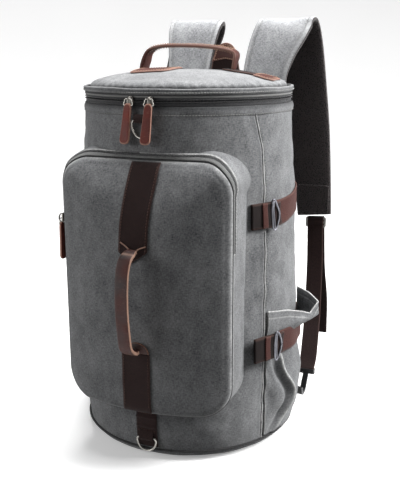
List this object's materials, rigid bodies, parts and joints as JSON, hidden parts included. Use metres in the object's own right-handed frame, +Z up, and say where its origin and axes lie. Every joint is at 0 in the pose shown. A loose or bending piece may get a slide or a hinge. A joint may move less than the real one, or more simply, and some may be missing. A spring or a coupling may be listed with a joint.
{
  "type": "travel backpack",
  "caption": "Round barrel-shaped canvas travel backpack with a zipped fold-back lid, zipped front pocket, leather grips, side pockets and two shoulder straps",
  "frame": {"origin": "centre of the round base, on the surface the bag stands on", "axes": "+Z up the barrel, -Y out of the front pocket, +X to the bag's right as seen from its front"},
  "size_m": [0.348, 0.426, 0.5655],
  "materials": {
    "canvas": "washed mid-grey cotton canvas, mottled",
    "strap_fabric": "grey canvas face over a black spacer mesh back",
    "mesh": "black spacer mesh",
    "lining": "plain dark lining",
    "board": "polyethylene stiffener",
    "piping": "dark brown piping",
    "zip_tape": "charcoal woven tape",
    "zip_coil": "black nylon coil",
    "webbing": "dark brown cotton webbing",
    "side_strap": "reddish brown webbing",
    "leather": "reddish brown leather with pale cut edges",
    "slider_metal": "dark nickel",
    "ring_metal": "bright nickel",
    "buckle_metal": "dark nickel",
    "hook_plastic": "black acetal"
  },
  "bodies": {
    "bag": {"front_panel": "canvas", "side_panel_right": "canvas", "side_panel_left": "canvas", "back_panel": "canvas", "base_panel": "canvas", "base_board": "board", "base_piping": "piping", "lining": "lining", "laptop_sleeve": "lining", "back_pad": "mesh", "strap_yoke": "canvas", "mouth_band": "canvas", "mouth_zip_tape": "zip_tape", "mouth_zip_teeth": "zip_coil", "lid_rear": "canvas", "pocket_front": "canvas", "pocket_gusset": "canvas", "pocket_zip_tape": "zip_tape", "front_webbing": "webbing", "front_handle_anchors": "leather", "ring_tabs": "webbing", "side_pocket_right": "canvas", "side_pocket_left": "canvas", "side_loops": "webbing", "side_buckles": "buckle_metal", "side_straps": "side_strap"},
    "lid": {"lid_top": "canvas", "lid_band": "canvas", "lid_zip_tape": "zip_tape", "lid_zip_teeth": "zip_coil", "top_handle_patches": "leather", "top_handle_webbing": "webbing"},
    "lid_slider_left": {"lid_slider_left": "slider_metal"},
    "lid_slider_right": {"lid_slider_right": "slider_metal"},
    "lid_pull_left": {"lid_pull_wire_left": "slider_metal", "lid_pull_left": "leather"},
    "lid_pull_right": {"lid_pull_wire_right": "slider_metal", "lid_pull_right": "leather"},
    "pocket_flap": {"pocket_flap": "canvas", "flap_zip_tape": "zip_tape", "flap_webbing": "webbing"},
    "pocket_slider": {"pocket_slider": "slider_metal"},
    "pocket_pull": {"pocket_pull_wire": "slider_metal", "pocket_pull": "leather"},
    "top_handle": {"top_handle": "leather"},
    "front_handle": {"front_handle": "leather"},
    "upper_ring": {"upper_ring": "ring_metal"},
    "lower_ring": {"lower_ring": "ring_metal"},
    "base_ring_right": {"base_ring_right": "ring_metal"},
    "base_ring_left": {"base_ring_left": "ring_metal"},
    "rear_tab": {"rear_tab": "webbing", "rear_tab_patch": "leather"},
    "shoulder_strap_right": {"shoulder_strap_right": "strap_fabric"},
    "shoulder_strap_left": {"shoulder_strap_left": "strap_fabric"},
    "strap_webbing_right": {"tri_glide_right": "buckle_metal", "strap_webbing_right": "webbing"},
    "strap_webbing_left": {"tri_glide_left": "buckle_metal", "strap_webbing_left": "webbing"},
    "strap_hook_right": {"strap_hook_right": "hook_plastic"},
    "strap_hook_left": {"strap_hook_left": "hook_plastic"}
  },
  "joints": [
    {"name": "lid_fold", "type": "hinge", "parent": "bag", "child": "lid", "pos_m": [0, 0.095, 0.4975], "axis": [-1, 0, 0], "range_deg": [0, 100]},
    {"name": "lid_slider_left_run", "type": "hinge", "parent": "bag", "child": "lid_slider_left", "pos_m": [0, 0, 0.4606], "axis": [0, 0, 1], "range_deg": [-118, 0]},
    {"name": "lid_slider_right_run", "type": "hinge", "parent": "bag", "child": "lid_slider_right", "pos_m": [0, 0, 0.4606], "axis": [0, 0, 1], "range_deg": [0, 121]},
    {"name": "lid_pull_left_swing", "type": "hinge", "parent": "lid_slider_left", "child": "lid_pull_left", "pos_m": [-0.01925, -0.14624, 0.463], "axis": [-0.9914, 0.1305, 0], "range_deg": [0, 140]},
    {"name": "lid_pull_right_swing", "type": "hinge", "parent": "lid_slider_right", "child": "lid_pull_right", "pos_m": [0.00901, -0.14722, 0.463], "axis": [-0.9981, -0.061, 0], "range_deg": [0, 140]},
    {"name": "pocket_flap_fold", "type": "hinge", "parent": "bag", "child": "pocket_flap", "pos_m": [0, -0.1798, 0.296], "axis": [1, 0, 0], "range_deg": [0, 75]},
    {"name": "pocket_slider_run", "type": "slide", "parent": "bag", "child": "pocket_slider", "axis": [0, 0, 1], "range_m": [-0.022, 0.034]},
    {"name": "pocket_pull_swing", "type": "hinge", "parent": "pocket_slider", "child": "pocket_pull", "pos_m": [-0.1188, -0.142, 0.3106], "axis": [0, 1, 0], "range_deg": [0, 140]},
    {"name": "top_handle_flop", "type": "hinge", "parent": "lid", "child": "top_handle", "pos_m": [0, 0, 0.5006], "axis": [1, 0, 0], "range_deg": [-45, 45]},
    {"name": "front_handle_flop", "type": "hinge", "parent": "bag", "child": "front_handle", "pos_m": [0, -0.1835, 0.218], "axis": [0, 0, 1], "range_deg": [-45, 45]},
    {"name": "upper_ring_swing", "type": "hinge", "parent": "bag", "child": "upper_ring", "pos_m": [-0.00252, -0.14424, 0.438], "axis": [-0.9998, 0.0175, 0], "range_deg": [0, 9]},
    {"name": "lower_ring_swing", "type": "hinge", "parent": "bag", "child": "lower_ring", "pos_m": [0, -0.15147, 0.029], "axis": [-1, 0, 0], "range_deg": [0, 85]},
    {"name": "base_ring_right_swing", "type": "hinge", "parent": "bag", "child": "base_ring_right", "pos_m": [0.13978, 0.05647, 0.031], "axis": [0.3746, -0.9272, 0], "range_deg": [0, 10]},
    {"name": "base_ring_left_swing", "type": "hinge", "parent": "bag", "child": "base_ring_left", "pos_m": [-0.13978, 0.05647, 0.031], "axis": [0.3746, 0.9272, 0], "range_deg": [0, 10]},
    {"name": "rear_tab_fold", "type": "hinge", "parent": "bag", "child": "rear_tab", "pos_m": [0, 0.149, 0.4613], "axis": [-1, 0, 0], "range_deg": [0, 60]},
    {"name": "shoulder_strap_right_lift", "type": "hinge", "parent": "bag", "child": "shoulder_strap_right", "pos_m": [0.061, 0.149, 0.461], "axis": [1, 0, 0], "range_deg": [0, 18]},
    {"name": "strap_webbing_right_swing", "type": "hinge", "parent": "shoulder_strap_right", "child": "strap_webbing_right", "pos_m": [0.134, 0.2, 0.2665], "axis": [1, 0, 0], "range_deg": [0, 25]},
    {"name": "strap_hook_right_fold", "type": "hinge", "parent": "strap_webbing_right", "child": "strap_hook_right", "pos_m": [0.153, 0.092, 0.058], "axis": [1, 0, 0], "range_deg": [0, 20]},
    {"name": "shoulder_strap_left_lift", "type": "hinge", "parent": "bag", "child": "shoulder_strap_left", "pos_m": [-0.061, 0.149, 0.461], "axis": [1, 0, 0], "range_deg": [0, 18]},
    {"name": "strap_webbing_left_swing", "type": "hinge", "parent": "shoulder_strap_left", "child": "strap_webbing_left", "pos_m": [-0.134, 0.2, 0.2665], "axis": [1, 0, 0], "range_deg": [0, 25]},
    {"name": "strap_hook_left_fold", "type": "hinge", "parent": "strap_webbing_left", "child": "strap_hook_left", "pos_m": [-0.153, 0.092, 0.058], "axis": [1, 0, 0], "range_deg": [0, 20]}
  ]
}
